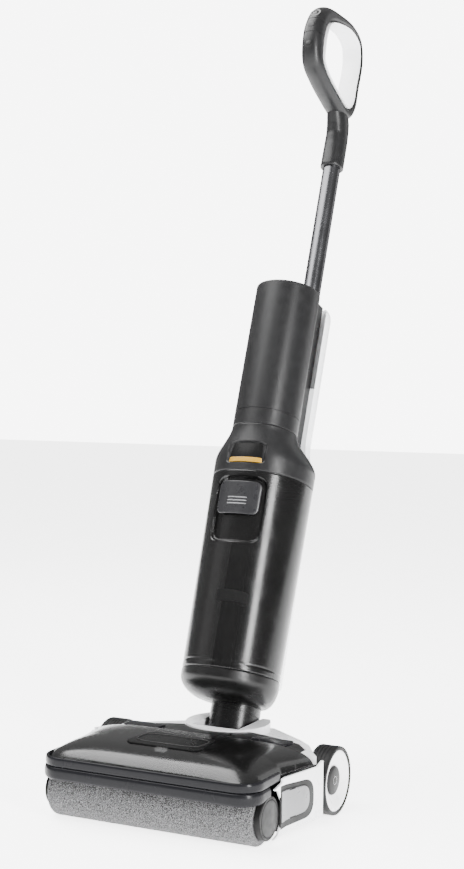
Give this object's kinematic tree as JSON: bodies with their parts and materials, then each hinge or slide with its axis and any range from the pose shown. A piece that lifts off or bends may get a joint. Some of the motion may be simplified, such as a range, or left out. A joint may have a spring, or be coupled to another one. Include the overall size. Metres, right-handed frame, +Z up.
{
  "type": "wet and dry floor washer",
  "caption": "Upright cordless wet and dry floor washer: fabric roller head on wheels, smoked dirty water tank, milky clean water tank, slim stick and loop handle.",
  "frame": {"origin": "on the floor, midway between the front of the floor head and the rear of the handle, in the middle of the width", "axes": "+Z up, -Y to the roller end (front), +X to the machine's right-hand side seen from behind"},
  "size_m": [0.336, 0.641, 1.0919],
  "materials": {
    "dark_plastic": "satin",
    "black_plastic": "satin",
    "black_gloss": "gloss",
    "white_plastic": "satin",
    "grey_plastic": "satin",
    "smoked_clear": "gloss",
    "milky_clear": "satin",
    "display_yellow": "gloss",
    "aluminium_tube": "satin",
    "steel": "satin",
    "contact_brass": "polished",
    "rubber": "matte",
    "tyre": "matte",
    "roller_fabric": "matte",
    "filter_foam": "matte",
    "battery_wrap": "satin",
    "board": "satin"
  },
  "bodies": {
    "head": {"head_chassis": "dark_plastic", "sole_plate": "black_plastic", "side_panel_left": "white_plastic", "side_panel_right": "white_plastic", "top_bridge": "black_plastic", "neck_ring": "white_plastic", "scraper_blade": "rubber", "spray_bar": "black_plastic", "weight_plate": "steel", "drive_motor": "steel", "drive_belt": "rubber", "belt_cover": "black_plastic", "head_pins": "steel", "suction_duct": "black_plastic", "sole_screws": "steel", "charge_contacts": "contact_brass"},
    "cover": {"roller_cover": "smoked_clear", "front_bumper": "rubber", "cover_band": "dark_plastic", "cover_window": "black_gloss"},
    "roller_carrier": {"roller_end_cap": "grey_plastic"},
    "roller": {"roller_core": "aluminium_tube", "roller_fabric": "roller_fabric"},
    "drive": {"drive_dog": "black_plastic"},
    "pulley": {"motor_pulley": "black_plastic"},
    "wheel_left": {"tyre_left": "tyre", "rim_left": "white_plastic"},
    "wheel_right": {"tyre_right": "tyre", "rim_right": "white_plastic"},
    "neck": {"neck_lower": "black_gloss", "swivel_pin": "steel"},
    "body": {"neck_upper": "black_gloss", "base_cap": "black_plastic", "body_frame": "black_plastic", "battery_pack": "battery_wrap", "motor_housing": "dark_plastic", "suction_motor": "steel", "shoulder": "dark_plastic", "display_lens": "display_yellow", "display_glass": "black_gloss", "circuit_board": "board"},
    "dirty_tank": {"dirty_tank": "smoked_clear", "tank_lid": "black_plastic", "tank_filter": "filter_foam", "inlet_pipe": "smoked_clear"},
    "float": {"tank_float": "white_plastic"},
    "latch": {"tank_latch": "dark_plastic"},
    "clean_tank": {"clean_tank": "milky_clear", "clean_tank_top": "white_plastic"},
    "cap": {"filler_cap": "black_plastic"},
    "stick": {"stick_tube": "aluminium_tube", "handle_left": "dark_plastic", "handle_right": "dark_plastic", "handle_insert": "white_plastic", "handle_stem": "dark_plastic", "button_panel": "black_plastic"},
    "self_clean_key": {"self_clean_button": "white_plastic"},
    "mode_key": {"mode_button": "dark_plastic"},
    "power_key": {"power_button": "black_plastic"}
  },
  "joints": [
    {"name": "cover_lift", "type": "slide", "parent": "head", "child": "cover", "axis": [0, -0.6, 0.8], "range_m": [0, 0.06]},
    {"name": "roller_carrier_slide", "type": "slide", "parent": "head", "child": "roller_carrier", "axis": [1, 0, 0], "range_m": [0, 0.3]},
    {"name": "roller_spin", "type": "hinge", "parent": "roller_carrier", "child": "roller", "pos_m": [0, -0.27777, 0.034], "axis": [1, 0, 0], "continuous": true},
    {"name": "drive_spin", "type": "hinge", "parent": "head", "child": "drive", "pos_m": [-0.142, -0.27777, 0.034], "axis": [1, 0, 0], "continuous": true},
    {"name": "motor_spin", "type": "hinge", "parent": "head", "child": "pulley", "pos_m": [-0.143, -0.20577, 0.046], "axis": [1, 0, 0], "continuous": true},
    {"name": "wheel_left_spin", "type": "hinge", "parent": "head", "child": "wheel_left", "pos_m": [-0.154, -0.11777, 0.043], "axis": [1, 0, 0], "continuous": true},
    {"name": "wheel_right_spin", "type": "hinge", "parent": "head", "child": "wheel_right", "pos_m": [0.154, -0.11777, 0.043], "axis": [1, 0, 0], "continuous": true},
    {"name": "body_tilt", "type": "hinge", "parent": "head", "child": "neck", "pos_m": [0, -0.09277, 0.045], "axis": [-1, 0, 0], "range_deg": [-20.3, 45]},
    {"name": "neck_swivel", "type": "hinge", "parent": "neck", "child": "body", "pos_m": [0, -0.07334, 0.09752], "axis": [0, 0.5195, 0.8545], "range_deg": [-45, 45]},
    {"name": "dirty_tank_slide", "type": "slide", "parent": "body", "child": "dirty_tank", "axis": [0, -0.9379, 0.3469], "range_m": [0, 0.12]},
    {"name": "tank_float_slide", "type": "slide", "parent": "dirty_tank", "child": "float", "axis": [0, 0.3469, 0.9379], "range_m": [0, 0.012]},
    {"name": "tank_latch_press", "type": "slide", "parent": "dirty_tank", "child": "latch", "axis": [0, 0.9379, -0.3469], "range_m": [0, 0.0025], "stiffness_N_per_m": 400, "springref_m": -0.004},
    {"name": "clean_tank_slide", "type": "slide", "parent": "body", "child": "clean_tank", "axis": [0, 0.9379, -0.3469], "range_m": [0, 0.07]},
    {"name": "filler_cap_lift", "type": "slide", "parent": "clean_tank", "child": "cap", "axis": [0, 0.3469, 0.9379], "range_m": [0, 0.03]},
    {"name": "stick_slide", "type": "slide", "parent": "body", "child": "stick", "axis": [0, 0.3469, 0.9379], "range_m": [0, 0.112]},
    {"name": "self_clean_press", "type": "slide", "parent": "stick", "child": "self_clean_key", "axis": [0, 0.7345, -0.6786], "range_m": [0, 0.001], "stiffness_N_per_m": 400, "springref_m": -0.004},
    {"name": "mode_press", "type": "slide", "parent": "stick", "child": "mode_key", "axis": [0, 0.897, -0.442], "range_m": [0, 0.001], "stiffness_N_per_m": 400, "springref_m": -0.004},
    {"name": "power_press", "type": "slide", "parent": "stick", "child": "power_key", "axis": [0, 0.9911, -0.1328], "range_m": [0, 0.001], "stiffness_N_per_m": 400, "springref_m": -0.004}
  ],
  "couplings": [
    {"joint": "drive_spin", "follows": "roller_spin", "ratio": 1},
    {"joint": "motor_spin", "follows": "roller_spin", "ratio": 2}
  ]
}
